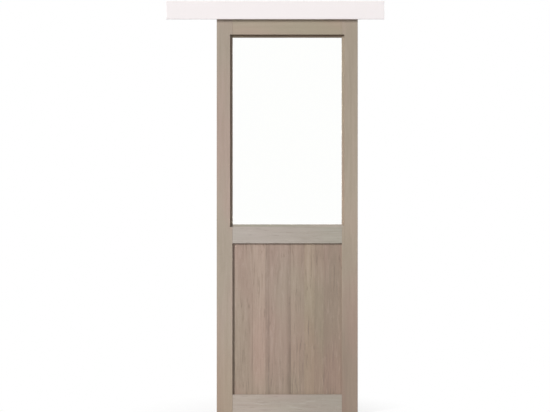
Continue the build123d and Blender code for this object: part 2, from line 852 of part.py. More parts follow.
# Pelmet top board: lies on the brackets, between the front board and the wall
with BuildPart() as pelmet_top_board:
    with BuildSketch(Plane.YZ.offset(-pelmet_length / 2)):
        rectangle_between(pelmet_back, wall_face, bracket_top, pelmet_top)
    extrude(amount=pelmet_length)
pelmet_top_board.part.label = "pelmet_top"
export_step(pelmet_top_board.part, "parts/pelmet_top.step")

# Pelmet ends: close the box, and stop above the leaf so that it can pass under them
for side, start in (("left", -pelmet_length / 2), ("right", pelmet_length / 2 - pelmet_board)):
    with BuildPart() as pelmet_end:
        with BuildSketch(Plane.YZ.offset(start)):
            low = leaf_top + pelmet_end_clearance
            rectangle_between(pelmet_back, wall_face, low, bracket_top)
        extrude(amount=pelmet_board)
    pelmet_end.part.label = f"pelmet_end_{side}"
    export_step(pelmet_end.part, f"parts/pelmet_end_{side}.step")

# Pelmet screws: pan heads inside the brackets' front flanges
with BuildPart() as pelmet_screws:
    rod(pelmet_screw_planes, pelmet_screw_radius, bracket_thickness + pelmet_screw_bite)
    heads = [plane.offset(-pelmet_screw_head_height) for plane in pelmet_screw_planes]
    rod(heads, pelmet_screw_head_radius, pelmet_screw_head_height)
pelmet_screws.part.label = "pelmet_screws"
export_step(pelmet_screws.part, "parts/pelmet_screws.step")


# End stops: a block that stands on the running lips, jacked against the track's ceiling
def make_stop(outward):
    half_width = track_inner_width / 2 - stop_side_clearance
    relief = track_slot_width / 2 + track_nib_width + stop_side_clearance
    relief_top = running_surface + track_nib_height + stop_side_clearance
    start = outward * (buffer_face + buffer_thickness)
    middle = outward * (buffer_face + buffer_thickness + stop_length / 2)
    with BuildPart() as stop:
        with BuildSketch(Plane.YZ.offset(start)) as section:
            block_top = track_ceiling - stop_side_clearance
            rectangle_between(-half_width, half_width, running_surface, block_top)
            fillet(section.vertices().group_by(Axis.Z)[-1], stop_corner)
            rectangle_between(-relief, relief, running_surface, relief_top, Mode.SUBTRACT)
        extrude(amount=outward * stop_length)
        with Locations((middle, 0, axle_height)):
            Hole(stop_screw_radius + thread_clearance)
        stem_hole = Plane((start, 0, axle_height), z_dir=(outward, 0, 0))
        rod([stem_hole], buffer_stem_radius + thread_clearance, buffer_stem_length, Mode.SUBTRACT)
    return stop.part


# Buffers: a rubber disc with a stem that plugs into the stop
def make_buffer(outward):
    face = Plane((outward * buffer_face, 0, axle_height), z_dir=(outward, 0, 0))
    with BuildPart() as buffer:
        rod([face], buffer_radius, buffer_thickness)
        chamfer(buffer.edges().sort_by(Axis.X, reverse=outward < 0)[0], buffer_edge)
        rod([face.offset(buffer_thickness)], buffer_stem_radius, buffer_stem_length)
    return buffer.part


for side, outward in (("left", -1), ("right", 1)):
    stop = make_stop(outward)
    stop.label = f"stop_{side}"
    export_step(stop, f"parts/stop_{side}.step")
    buffer = make_buffer(outward)
    buffer.label = f"stop_buffer_{side}"
    export_step(buffer, f"parts/stop_buffer_{side}.step")

# Stop screws: socket set screws, turned from below through the track's slot
stop_middle = buffer_face + buffer_thickness + stop_length / 2
with BuildPart() as stop_screws:
    with BuildSketch(Plane.XY.offset(track_ceiling - stop_screw_height)):
        with Locations((-stop_middle, 0), (stop_middle, 0)):
            Circle(stop_screw_radius)
    extrude(amount=stop_screw_height)
    with BuildSketch(Plane.XY.offset(track_ceiling - stop_screw_height)):
        with Locations((-stop_middle, 0), (stop_middle, 0)):
            RegularPolygon(stop_screw_socket_flats / 2, 6, major_radius=False)
    extrude(amount=stop_screw_socket_depth, mode=Mode.SUBTRACT)
stop_screws.part.label = "stop_screws"
export_step(stop_screws.part, "parts/stop_screws.step")

# Floor guide: moulded base screwed to the floor, with a fin that runs in the leaf's groove
with BuildPart() as floor_guide:
    with BuildSketch(Plane.XY):
        RectangleRounded(guide_base_length, guide_base_width, guide_base_corner)
    extrude(amount=guide_base_thickness)
    chamfer(floor_guide.faces().sort_by(Axis.Z)[-1].edges(), guide_base_edge)
    fin_width = guide_groove_width - 2 * guide_side_clearance
    with BuildSketch(Plane.XY.offset(guide_base_thickness)):
        SlotOverall(guide_fin_length, fin_width)
    extrude(amount=guide_fin_height)
    chamfer(floor_guide.faces().sort_by(Axis.Z)[-1].edges(), guide_fin_edge)
    with Locations((0, 0, guide_base_thickness)):
        with GridLocations(guide_hole_spacing, guide_hole_spacing, 2, 1):
            CounterSinkHole(
                guide_hole_radius,
                guide_sink_radius,
                depth=guide_base_thickness,
                counter_sink_angle=countersink_angle,
            )
floor_guide.part.label = "floor_guide"
export_step(floor_guide.part, "parts/floor_guide.step")
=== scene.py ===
import json
from math import cos, pi, radians, sin, tan, tau

import bpy
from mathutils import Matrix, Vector

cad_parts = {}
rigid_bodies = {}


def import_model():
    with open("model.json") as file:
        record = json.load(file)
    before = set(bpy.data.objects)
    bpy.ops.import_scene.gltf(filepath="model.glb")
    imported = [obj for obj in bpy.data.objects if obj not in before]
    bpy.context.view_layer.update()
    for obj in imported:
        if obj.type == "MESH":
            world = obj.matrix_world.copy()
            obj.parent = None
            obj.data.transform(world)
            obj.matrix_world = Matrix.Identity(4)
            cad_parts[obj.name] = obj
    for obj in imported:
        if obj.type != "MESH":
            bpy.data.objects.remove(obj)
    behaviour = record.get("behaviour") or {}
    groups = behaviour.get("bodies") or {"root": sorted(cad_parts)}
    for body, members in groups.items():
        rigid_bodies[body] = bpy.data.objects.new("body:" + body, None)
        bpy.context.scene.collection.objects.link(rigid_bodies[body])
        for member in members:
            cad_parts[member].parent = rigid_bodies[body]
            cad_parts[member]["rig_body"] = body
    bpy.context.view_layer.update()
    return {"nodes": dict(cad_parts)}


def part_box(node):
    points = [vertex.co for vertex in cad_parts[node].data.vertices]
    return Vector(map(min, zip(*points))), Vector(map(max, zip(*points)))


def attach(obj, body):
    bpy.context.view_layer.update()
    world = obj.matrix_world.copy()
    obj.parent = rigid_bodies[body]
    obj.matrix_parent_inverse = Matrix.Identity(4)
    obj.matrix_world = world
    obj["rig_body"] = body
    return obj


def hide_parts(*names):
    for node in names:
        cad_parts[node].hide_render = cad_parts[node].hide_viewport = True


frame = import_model()
bpy.context.scene.view_settings.view_transform = "Standard"


# Camera: a long lens square to the door, a hand's breadth above the glass's lower edge, so that
# the pelmet fills the top of the picture and the bottom rail runs out of its lower edge.
lens_millimetres = 85
film_millimetres = 36
camera_aside = -0.0013
camera_distance = 6.74
camera_height = 1.0782
camera_data = bpy.data.cameras.new("door_camera")
camera_data.lens = lens_millimetres
camera_data.sensor_width = film_millimetres
camera = bpy.data.objects.new("door_camera", camera_data)
camera.location = (camera_aside, -camera_distance, camera_height)
camera.rotation_euler = (radians(90), 0, 0)
bpy.context.collection.objects.link(camera)
bpy.context.scene.camera = camera


# Studio: a tall narrow softbox far off at the upper left throws the crisp side shadows and the
# soft ones under the rails, a lamp behind keeps the back readable, and the room fills in evenly.
def softbox(name, place, aim, width, height, watts):
    """A rectangular lamp at a place, aimed at a point, its height kept upright."""
    lamp_data = bpy.data.lights.new(name, "AREA")
    lamp_data.shape = "RECTANGLE"
    lamp_data.size = width
    lamp_data.size_y = height
    lamp_data.energy = watts
    lamp = bpy.data.objects.new(name, lamp_data)
    lamp.location = place
    lamp.rotation_euler = (Vector(aim) - Vector(place)).to_track_quat("-Z", "Y").to_euler()
    lamp.visible_camera = False
    bpy.context.collection.objects.link(lamp)


door_middle = (0.06, 0, 1.1)
softbox(
    "key_softbox",
    place=(-28.3, -28.4, 21.1),
    aim=door_middle,
    width=2.8,
    height=17.6,
    watts=21200,
)
softbox(
    "back_softbox",
    place=(2.6, 4.8, 3.4),
    aim=door_middle,
    width=2.4,
    height=2.4,
    watts=270,
)

room_fill = 0.2
world = bpy.data.worlds.new("pale_room")
world.use_nodes = True
bpy.context.scene.world = world
room = world.node_tree
room_light = room.nodes["Background"]
room_light.inputs["Color"].default_value = (1, 1, 1, 1)
room_rays = room.nodes.new("ShaderNodeLightPath")
room_seen = room_rays.outputs["Is Camera Ray"]
for kind in ("Is Glossy Ray", "Is Transmission Ray"):
    either = room.nodes.new("ShaderNodeMath")
    either.operation = "MAXIMUM"
    room.links.new(room_seen, either.inputs[0])
    room.links.new(room_rays.outputs[kind], either.inputs[1])
    room_seen = either.outputs[0]
room_strength = room.nodes.new("ShaderNodeMapRange")
room_strength.inputs["To Min"].default_value = room_fill
room.links.new(room_seen, room_strength.inputs["Value"])
room.links.new(room_strength.outputs["Result"], room_light.inputs["Strength"])


# Floor: pale seamless board that looks white round the door. It keeps the door's soft shadow
# near the foot, where it fades into the white room so that no edge shows.
class Finish:
    """A surface finish: one Principled shader and the patterns that drive it."""

    def __init__(self, name, sockets):
        self.material = bpy.data.materials.new(name)
        self.material.use_nodes = True
        self.tree = self.material.node_tree
        self.shader = self.tree.nodes["Principled BSDF"]
        self.set(self.shader, sockets)

    def set(self, node, sockets):
        """Gives each socket its value, or links it to the output that it is given."""
        for key, value in sockets.items():
            socket = node.inputs[key]
            if isinstance(value, bpy.types.NodeSocket):
                self.tree.links.new(value, socket)
            elif socket.type == "RGBA":
                socket.default_value = (*value, 1)
            else:
                socket.default_value = value

    def node(self, kind, sockets, **settings):
        """A new node of this kind, with its sockets and settings."""
        made = self.tree.nodes.new("ShaderNode" + kind)
        for setting, value in settings.items():
            setattr(made, setting, value)
        self.set(made, sockets)
        return made

    def place(self, stretch=(1, 1, 1), shift=(0, 0, 0)):
        """Metres in the door's own frame, stretched and shifted for one pattern."""
        metres = self.node("TexCoord", {}).outputs["Object"]
        mapping = {"Vector": metres, "Scale": stretch, "Location": shift}
        return self.node("Mapping", mapping).outputs["Vector"]

    def noise(self, place, per_metre, detail=2, roughness=0.5, wander=0):
        """An uneven pattern with so many marks in a metre."""
        sockets = {"Vector": place, "Scale": per_metre, "Detail": detail}
        sockets |= {"Roughness": roughness, "Distortion": wander}
        return self.node("TexNoise", sockets).outputs["Fac"]

    def levels(self, value, low, high, dark=0, light=1):
        """The value, eased from dark at low to light at high."""
        sockets = {"Value": value, "From Min": low, "From Max": high}
        sockets |= {"To Min": dark, "To Max": light}
        return self.node("MapRange", sockets, interpolation_type="SMOOTHSTEP").outputs["Result"]

    def math(self, how, first, second):
        """Arithmetic on two values, such as ADD or MAXIMUM."""
        return self.node("Math", {0: first, 1: second}, operation=how).outputs[0]

    def times(self, value, share):
        """The value, multiplied by a share."""
        return self.math("MULTIPLY", value, share)

    def mix(self, share, first, second, how="MIX"):
        """Two colours in one, by the share of the second."""
        made = self.node("Mix", {}, data_type="RGBA", blend_type=how)
        self.set(made, {0: share, 6: first, 7: second})
        return made.outputs[2]

    def tinted(self, colour, tint):
        """The colour, multiplied by a tint."""
        return self.mix(1.0, colour, tint, "MULTIPLY")

    def bump(self, height, distance):
        """Relief on the surface, this deep in metres."""
        made = self.node("Bump", {"Height": height, "Distance": distance, "Strength": 1})
        self.set(self.shader, {"Normal": made.outputs["Normal"]})

    def both(self, share, first, second):
        """Two whole shaders in one, by the share of the second."""
        return self.node("MixShader", {0: share, 1: first, 2: second}).outputs[0]

    def cover(self, shader):
        """Shows this shader on the surface."""
        self.set(self.tree.nodes["Material Output"], {"Surface": shader})


floor_reach = 3
floor_sides = 64
floor_rim = [
    (floor_reach * cos(tau * step / floor_sides), floor_reach * sin(tau * step / floor_sides), 0)
    for step in range(floor_sides)
]
floor_mesh = bpy.data.meshes.new("studio_floor")
floor_mesh.from_pydata(floor_rim, [], [tuple(range(floor_sides))])
floor = bpy.data.objects.new("studio_floor", floor_mesh)
bpy.context.collection.objects.link(floor)

board_grey = (0.74, 0.74, 0.74)
board_pale = (0.8, 0.8, 0.8)
shadow_kept = 0.3
shadow_fades_from = 0.2
shadow_gone_at = 0.85
board = Finish("pale_board", {"Roughness": 0.9, "Specular IOR Level": 0.1})
speckle = board.noise(board.place(), per_metre=90, detail=4)
board.set(board.shader, {"Base Color": board.mix(speckle, board_grey, board_pale)})
away = board.node("VectorMath", {0: board.place()}, operation="LENGTH").outputs["Value"]
shadow_share = board.levels(away, shadow_fades_from, shadow_gone_at, shadow_kept, 0)
white = board.node("Emission", {"Color": (1, 1, 1), "Strength": 1}).outputs[0]
board_seen = board.both(shadow_share, white, board.shader.outputs[0])
board_rays = board.node("LightPath", {}).outputs
looked_at = board.math("MAXIMUM", board_rays["Is Camera Ray"], board_rays["Is Glossy Ray"])
looked_at = board.math("MAXIMUM", looked_at, board_rays["Is Transmission Ray"])
board.cover(board.both(looked_at, board.shader.outputs[0], board_seen))
floor_mesh.materials.append(board.material)


# Stiles: full-height uprights of engineered oak, veneered all round with the grain upright,
# stained greige and matt lacquered. Their arrises are eased so that the veneer doesn't lift.
def dress(nodes, finish, rounding=0.0):
    """Gives CAD nodes a finish and, where the real piece has one, a rounded arris."""
    same_corner = 1e-5
    turn_of_an_arris = radians(30)
    for name in nodes:
        piece = frame["nodes"][name]
        for held in piece.material_slots:
            held.material = finish.material
        if rounding:
            weld = piece.modifiers.new("joined_corners", "WELD")
            weld.merge_threshold = same_corner
            arris = piece.modifiers.new("eased_arris", "BEVEL")
            arris.width = rounding
            arris.segments = 2
            arris.angle_limit = turn_of_an_arris
            arris.harden_normals = True


def timber(name, grain, light, dark, shift=(0, 0, 0), veined=0.5, tone_and_shade_drift=None):
    """Lacquered hardwood whose fibres run along one axis, with figure, veins, pores and flecks.
    Its colour may change to a tint between two places along the grain, partly the wood's own
    tone and partly painted shade where the light falls off."""
    wood = Finish(name, {"Specular IOR Level": 0.3})
    elsewhere = [part + 4 for part in shift]

    def marks(drawn_out, per_metre, detail, roughness=0.5, wander=0, start=shift):
        """Marks that the given stretch draws out along the grain."""
        stretch = [drawn_out if axis == grain else 1 for axis in "XYZ"]
        return wood.noise(wood.place(stretch, start), per_metre, detail, roughness, wander)

    figure = marks(0.05, per_metre=24, detail=4, roughness=0.55, wander=0.8)
    streaks = marks(0.08, per_metre=110, detail=3, roughness=0.6, wander=0.4)
    fibres = marks(0.02, per_metre=620, detail=2, roughness=0.6)
    pores = wood.levels(marks(0.06, per_metre=1500, detail=1), 0.62, 0.7)
    flecks = wood.levels(marks(0.25, per_metre=300, detail=2), 0.64, 0.74)
    clouds = marks(0.35, per_metre=6, detail=1)
    veins = marks(0.045, per_metre=130, detail=2, wander=0.5, start=elsewhere)
    gathered = wood.levels(marks(0.2, per_metre=14, detail=2, start=elsewhere), 0.4, 0.62)

    figure_share, streak_share, fibre_share = 0.5, 0.3, 0.2
    broad = wood.times(figure, figure_share)
    narrow = wood.times(streaks, streak_share)
    hairs = wood.times(fibres, fibre_share)
    tone = wood.math("ADD", wood.math("ADD", broad, narrow), hairs)
    colour = wood.mix(wood.levels(tone, 0.36, 0.64), dark, light)

    warm, cool = (1.03, 0.985, 0.99), (0.97, 1.01, 0.98)
    colour = wood.tinted(colour, wood.mix(wood.levels(clouds, 0.35, 0.65), warm, cool))

    dark_vein = [0.6 * part for part in dark]
    pale_vein = [1.25 * part for part in light]
    dark_vein_share, pale_vein_share = 0.6, 0.25
    dark_veins = wood.times(wood.levels(veins, 0.56, 0.68), gathered)
    colour = wood.mix(wood.times(dark_veins, dark_vein_share * veined), colour, dark_vein)
    pale_veins = wood.levels(veins, 0.42, 0.32)
    colour = wood.mix(wood.times(pale_veins, pale_vein_share * veined), colour, pale_vein)

    fleck_share, fleck_colour = 0.12, (0.62, 0.56, 0.48)
    colour = wood.mix(wood.times(flecks, fleck_share), colour, fleck_colour)

    # Painted shade in part: the colour is tinted darker towards one end along the grain, where
    # the light falls off.
    if tone_and_shade_drift:
        lengthwise = wood.node("SeparateXYZ", {"Vector": wood.place()}).outputs[grain]
        tone_and_shade_share = wood.levels(lengthwise, tone_and_shade_drift["start"], tone_and_shade_drift["end"])
        colour = wood.tinted(colour, wood.mix(tone_and_shade_share, (1, 1, 1), tone_and_shade_drift["tint"]))

    pore_share, pore_depth = 0.35, 0.00012
    pore_colour = [0.42 * part for part in dark]
    wood.colour = wood.mix(wood.times(pores, pore_share), colour, pore_colour)
    sheen = wood.levels(streaks, 0.3, 0.7, dark=0.44, light=0.58)
    wood.set(wood.shader, {"Base Color": wood.colour, "Roughness": sheen})
    fibre_relief = 0.35
    open_grain = wood.math("SUBTRACT", wood.times(fibres, fibre_relief), pores)
    wood.bump(open_grain, pore_depth)
    return wood


# The stiles darken towards the foot by the tint given here, partly the wood's tone and partly
# painted shade for the light falling off.
left_stile_oak = timber(
    "left_stile_oak",
    grain="Z",
    light=(0.423, 0.342, 0.287),
    dark=(0.379, 0.304, 0.249),
    shift=(0.5, 0.2, 6.1),
    veined=0.25,
    tone_and_shade_drift={"start": 0.6, "end": 0.1, "tint": (0.895, 0.87, 0.815)},
)
right_stile_oak = timber(
    "right_stile_oak",
    grain="Z",
    light=(0.421, 0.339, 0.276),
    dark=(0.372, 0.298, 0.239),
    shift=(3.1, 0.4, 1.7),
    veined=0.25,
    tone_and_shade_drift={"start": 1.15, "end": 0.1, "tint": (0.71, 0.655, 0.648)},
)
dress(["left_stile"], left_stile_oak)
dress(["right_stile"], right_stile_oak)


# Rails: top, mid and bottom, of the same oak with the grain along them. The mid and bottom
# rails come from a paler, greyer leaf with short dark and pale dashes, the top one matches the
# stiles.
# The rails darken towards the right by the tint given here, partly the wood's tone and partly
# painted shade for the light falling off from the left.
top_rail_oak = timber(
    "top_rail_oak",
    grain="X",
    light=(0.422, 0.354, 0.278),
    dark=(0.402, 0.335, 0.26),
    shift=(0.9, 5.2, 0.3),
    veined=0.15,
    tone_and_shade_drift={"start": -0.2, "end": 0.3, "tint": (0.96, 0.935, 0.925)},
)
mid_rail_oak = timber(
    "mid_rail_oak",
    grain="X",
    light=(0.453, 0.422, 0.378),
    dark=(0.403, 0.367, 0.323),
    shift=(2.3, 1.1, 4.4),
    veined=0.5,
    tone_and_shade_drift={"start": -0.15, "end": 0.3, "tint": (0.88, 0.885, 0.85)},
)
bottom_rail_oak = timber(
    "bottom_rail_oak",
    grain="X",
    light=(0.442, 0.366, 0.327),
    dark=(0.398, 0.322, 0.283),
    shift=(7.2, 2.6, 0.8),
    veined=0.5,
    tone_and_shade_drift={"start": -0.15, "end": 0.3, "tint": (0.795, 0.89, 0.855)},
)
dark_dash_share, dark_dash_colour = 0.3, (0.24, 0.205, 0.175)
pale_dash_share, pale_dash_colour = 0.17, (0.6, 0.56, 0.5)
for rail_oak in (mid_rail_oak, bottom_rail_oak):
    along_rail = rail_oak.place(stretch=(0.14, 1, 1), shift=(1.7, 0.4, 2.2))
    dashes = rail_oak.noise(along_rail, per_metre=95, detail=2)
    dark_dashes = rail_oak.times(rail_oak.levels(dashes, 0.6, 0.7), dark_dash_share)
    rail_colour = rail_oak.mix(dark_dashes, rail_oak.colour, dark_dash_colour)
    pale_dashes = rail_oak.times(rail_oak.levels(dashes, 0.38, 0.3), pale_dash_share)
    rail_colour = rail_oak.mix(pale_dashes, rail_colour, pale_dash_colour)
    rail_oak.set(rail_oak.shader, {"Base Color": rail_colour})
dress(["top_rail"], top_rail_oak)
dress(["mid_rail"], mid_rail_oak)
dress(["bottom_rail"], bottom_rail_oak)


# Dowels: beech pins pressed and glued into both sides of each frame joint. The flutes let the
# glue and the trapped air out, and the chamfered ends find the hole.
def solid_boxes(node):
    """The lowest and highest corner of each separate solid in a CAD node."""
    micrometre_digits = 6
    mesh = frame["nodes"][node].data
    corners = [
        tuple(round(part, micrometre_digits) for part in vertex.co) for vertex in mesh.vertices
    ]
    leader = {corner: corner for corner in corners}

    def lead(corner):
        while leader[corner] != corner:
            leader[corner] = leader[leader[corner]]
            corner = leader[corner]
        return corner

    for face in mesh.polygons:
        first, *others = (corners[index] for index in face.vertices)
        for other in others:
            leader[lead(other)] = lead(first)
    solids = {}
    for corner in leader:
        solids.setdefault(lead(corner), []).append(corner)
    boxes = [(Vector(map(min, *solid)), Vector(map(max, *solid))) for solid in solids.values()]
    return sorted(boxes, key=lambda box: tuple(box[0]))


def turned(name, starts, pointing, stations, sides, closed=False):
    """Like pieces in one mesh, each a run of rings. A station is a distance along the piece and
    a radius, and either may be a function of the angle round it."""
    crease = radians(32)
    turn = Vector(pointing).to_track_quat("Z", "Y")
    points, faces = [], []
    for start in starts:
        first = len(points)
        for station in stations:
            for step in range(sides):
                angle = tau * step / sides
                along, reach = (part(angle) if callable(part) else part for part in station)
                local = Vector((reach * cos(angle), reach * sin(angle), along))
                points.append(Vector(start) + turn @ local)
        rings = len(stations)
        for row in range(rings if closed else rings - 1):
            here = first + row * sides
            there = first + (row + 1) % rings * sides
            for step in range(sides):
                after = (step + 1) % sides
                faces.append((here + step, here + after, there + after, there + step))
        if not closed:
            faces.append(tuple(reversed(range(first, first + sides))))
            faces.append(tuple(range(first + (rings - 1) * sides, first + rings * sides)))
    mesh = bpy.data.meshes.new(name)
    mesh.from_pydata(points, [], faces)
    mesh.polygons.foreach_set("use_smooth", [True] * len(faces))
    mesh.set_sharp_from_angle(angle=crease)
    piece = bpy.data.objects.new(name, mesh)
    bpy.context.collection.objects.link(piece)
    return piece


def stand_in(piece, node, finish):
    """Puts a detailed piece in place of a CAD node, on the same body and in the same slot."""
    piece.data.materials.append(finish.material)
    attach(piece, frame["nodes"][node]["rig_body"])
    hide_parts(node)


dowel_radius = 0.005
dowel_chamfer = 0.0012
flute_depth = 0.00035
flutes = 20


def fluted(angle):
    """The dowel's radius at an angle, with its flutes."""
    return dowel_radius - flute_depth * (0.5 - 0.5 * cos(flutes * angle))


dowels = solid_boxes("frame_dowels")
dowel_length = dowels[0][1].x - dowels[0][0].x
fluted_dowels = turned(
    "fluted_dowels",
    [(low.x, (low.y + high.y) / 2, (low.z + high.z) / 2) for low, high in dowels],
    (1, 0, 0),
    [
        (0, dowel_radius - dowel_chamfer),
        (dowel_chamfer, fluted),
        (dowel_length / 2, fluted),
        (dowel_length - dowel_chamfer, fluted),
        (dowel_length, dowel_radius - dowel_chamfer),
    ],
    sides=flutes * 4,
)
beech = timber(
    "raw_beech",
    grain="X",
    light=(0.74, 0.57, 0.4),
    dark=(0.62, 0.46, 0.31),
    shift=(1.4, 2.2, 3.3),
)
stand_in(fluted_dowels, "frame_dowels", beech)


# Lower panel: a veneered board held loose in the frame's grooves. Its face is laid up from
# upright strips of different logs, browner than the frame, with a tight dark joint between two.
# The panel darkens towards the foot by the tint given here, partly the wood's tone and partly
# painted shade for the light falling off.
panel_oak = timber(
    "panel_oak",
    grain="Z",
    light=(0.358, 0.286, 0.233),
    dark=(0.31, 0.243, 0.196),
    shift=(4.4, 0.7, 2.9),
    veined=0.6,
    tone_and_shade_drift={"start": 0.85, "end": 0.15, "tint": (0.93, 0.92, 0.9)},
)
panel_low, panel_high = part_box("lower_panel")
panel_width = panel_high.x - panel_low.x
# Each strip's width and tint, then how dark its right joint is and how far the dark reaches.
# The tints grow darker to the right, partly the logs' tone and partly painted shade for the
# light's falloff.
strips = (
    (0.112, (1.12, 1.08, 1.09), 0.5, 0.004),
    (0.065, (1.18, 1.14, 1.15), 0.1, 0.004),
    (0.022, (1.0, 0.97, 0.98), 0.6, 0.008),
    (0.111, (1.07, 1.03, 1.05), 0.7, 0.024),
    (0.069, (1.05, 1.03, 1.02), 0.2, 0.01),
    (0.054, (1.05, 1.05, 0.99), 0.1, 0.004),
    (0.047, (0.97, 0.955, 0.92), 0.2, 0.01),
    (0.104, (0.93, 0.88, 0.875), 0, 0.001),
)
palest = 1.2
strip_wander = 0.006
glue_line = 0.0008
bend = panel_oak.noise(panel_oak.place((0, 0, 1), (0, 0, 2)), per_metre=2.2, detail=2)
placed = panel_oak.node("SeparateXYZ", {"Vector": panel_oak.place()})
wander = panel_oak.times(panel_oak.math("SUBTRACT", bend, 0.5), strip_wander)
across = panel_oak.math("ADD", placed.outputs["X"], wander)
share = panel_oak.math("DIVIDE", panel_oak.math("SUBTRACT", across, panel_low.x), panel_width)
laid_up = panel_oak.node("ValToRGB", {"Fac": share})
laid_up.color_ramp.interpolation = "CONSTANT"
joints = panel_oak.node("ValToRGB", {"Fac": share})
no_joint = (0, 0, 0, 1)
joints.color_ramp.elements[0].color = no_joint
joints.color_ramp.elements[1].color = no_joint
laid = 0
for width, tint, darkness, reach in strips:
    strip = laid_up.color_ramp.elements.new(laid / panel_width)
    strip.color = (*[part / palest for part in tint], 1)
    laid += width
    if darkness:
        joints.color_ramp.elements.new((laid - reach) / panel_width).color = no_joint
        joint = joints.color_ramp.elements.new(laid / panel_width)
        joint.color = (darkness, darkness, darkness, 1)
        joints.color_ramp.elements.new((laid + glue_line) / panel_width).color = no_joint
laid_up.color_ramp.elements[-1].color = strip.color
panel_colour = panel_oak.tinted(panel_oak.colour, laid_up.outputs["Color"])
panel_colour = panel_oak.tinted(panel_colour, (palest, palest, palest))

# Painted shade: the panel is tinted darker towards its lower right corner, where the light falls
# off.
painted_falloff_tint = (0.94, 0.935, 0.93)
rightward = panel_oak.times(placed.outputs["X"], 2)
to_corner = panel_oak.math("SUBTRACT", rightward, placed.outputs["Z"])
painted_falloff_share = panel_oak.levels(to_corner, -0.45, 0.05)
painted_falloff_tone = panel_oak.mix(painted_falloff_share, (1, 1, 1), painted_falloff_tint)
panel_colour = panel_oak.tinted(panel_colour, painted_falloff_tone)

heartwood_colour = (0.13, 0.095, 0.07)
foot = panel_oak.levels(placed.outputs["Z"], 0.65, 0.3, dark=0.45, light=1)
patches = panel_oak.noise(panel_oak.place((1.5, 1, 0.8)), per_metre=5, detail=2)
patchy = panel_oak.levels(patches, 0.35, 0.6, dark=0.3, light=0.9)
heartwood = panel_oak.times(panel_oak.times(foot, patchy), joints.outputs["Color"])
panel_colour = panel_oak.mix(heartwood, panel_colour, heartwood_colour)

dark_feather, pale_feather = (0.19, 0.14, 0.108), (0.48, 0.39, 0.33)
pale_feather_share = 0.2
upright = panel_oak.place(stretch=(1, 1, 0.1), shift=(8.2, 1.6, 3.1))
feathers = panel_oak.noise(upright, per_metre=95, detail=3, roughness=0.6, wander=0.7)
gathering = panel_oak.place(stretch=(1, 1, 0.25), shift=(3.3, 0.5, 7.7))
flocks = panel_oak.noise(gathering, per_metre=15, detail=1)
flocked = panel_oak.levels(flocks, 0.4, 0.6, dark=0.08, light=0.54)
dark_feathers = panel_oak.times(panel_oak.levels(feathers, 0.55, 0.67), flocked)
panel_colour = panel_oak.mix(dark_feathers, panel_colour, dark_feather)
pale_feathers = panel_oak.times(panel_oak.levels(feathers, 0.45, 0.34), pale_feather_share)
panel_colour = panel_oak.mix(pale_feathers, panel_colour, pale_feather)
panel_oak.set(panel_oak.shader, {"Base Color": panel_colour})
dress(["lower_panel"], panel_oak)


# Glass: one clear float pane with ground edges, which look green where light runs along them.
# It rests on two dark plastic setting blocks, and foam tape seals it to lip and beads.
edge_green = (0.34, 0.68, 0.54)
face_clear = (0.988, 0.994, 0.982)
lamps_through = (0.95, 0.97, 0.96)
ground_roughness = 0.4
glass = Finish("clear_float", {"Roughness": 0, "IOR": 1.52, "Transmission Weight": 1})
facing = glass.node("SeparateXYZ", {"Vector": glass.node("TexCoord", {}).outputs["Normal"]})
flat = glass.levels(glass.math("ABSOLUTE", facing.outputs["Y"], 0), 0.6, 0.95)
ground = glass.times(glass.math("SUBTRACT", 1, flat), ground_roughness)
glass_colour = glass.mix(flat, edge_green, face_clear)
glass.set(glass.shader, {"Base Color": glass_colour, "Roughness": ground})
open_to_lamps = glass.node("BsdfTransparent", {"Color": lamps_through}).outputs[0]
shadow_ray = glass.node("LightPath", {}).outputs["Is Shadow Ray"]
glass.cover(glass.both(shadow_ray, glass.shader.outputs[0], open_to_lamps))
dress(["glass_pane"], glass)


def moulded(name, colour, roughness, per_metre, relief, mottle=0.12):
    """Plastic, rubber or foam: one colour through, with a fine grained skin."""
    skin = Finish(name, {"Specular IOR Level": 0.4})
    grains = skin.noise(skin.place(), per_metre, detail=3, roughness=0.6)
    patches = skin.noise(skin.place(), per_metre / 12, detail=2)
    darker = [part * (1 - mottle) for part in colour]
    shade = skin.mix(skin.levels(patches, 0.3, 0.7), darker, colour)
    sheen = skin.levels(grains, 0.3, 0.7, dark=roughness - 0.06, light=roughness + 0.08)
    skin.set(skin.shader, {"Base Color": shade, "Roughness": sheen})
    skin.bump(grains, relief)
    return skin


foam = moulded(
    "closed_cell_tape",
    (0.052, 0.05, 0.048),
    roughness=0.85,
    per_metre=2600,
    relief=0.0002,
    mottle=0.3,
)
dress(["glazing_seal_front", "glazing_seal_back"], foam)
block_plastic = moulded(
    "block_plastic", (0.07, 0.075, 0.085), roughness=0.5, per_metre=1500, relief=0.00005
)
dress(["setting_blocks"], block_plastic, rounding=0.0003)


# Beads: solid oak strips set deep in the rebate, mitred at the corners and stained with the
# frame. They leave a narrow step round the glass. The top one is given a darker colour as
# painted shade for the shadow that the top rail casts on it.
side_bead_oak = timber(
    "side_bead_oak",
    grain="Z",
    light=(0.4, 0.325, 0.262),
    dark=(0.34, 0.272, 0.212),
    shift=(5.1, 1.3, 0.2),
)
# Painted shade: the top bead's dark colour stands in for the top rail's shadow.
top_bead_painted_shade = timber(
    "top_bead_painted_shade",
    grain="X",
    light=(0.23, 0.178, 0.128),
    dark=(0.175, 0.132, 0.092),
    shift=(0.6, 3.7, 5.5),
)
bottom_bead_oak = timber(
    "bottom_bead_oak",
    grain="X",
    light=(0.445, 0.405, 0.355),
    dark=(0.39, 0.35, 0.3),
    shift=(1.6, 0.7, 3.5),
)
bead_rounding = 0.0004
dress(["bead_left", "bead_right"], side_bead_oak, rounding=bead_rounding)
dress(["bead_top"], top_bead_painted_shade, rounding=bead_rounding)
dress(["bead_bottom"], bottom_bead_oak, rounding=bead_rounding)


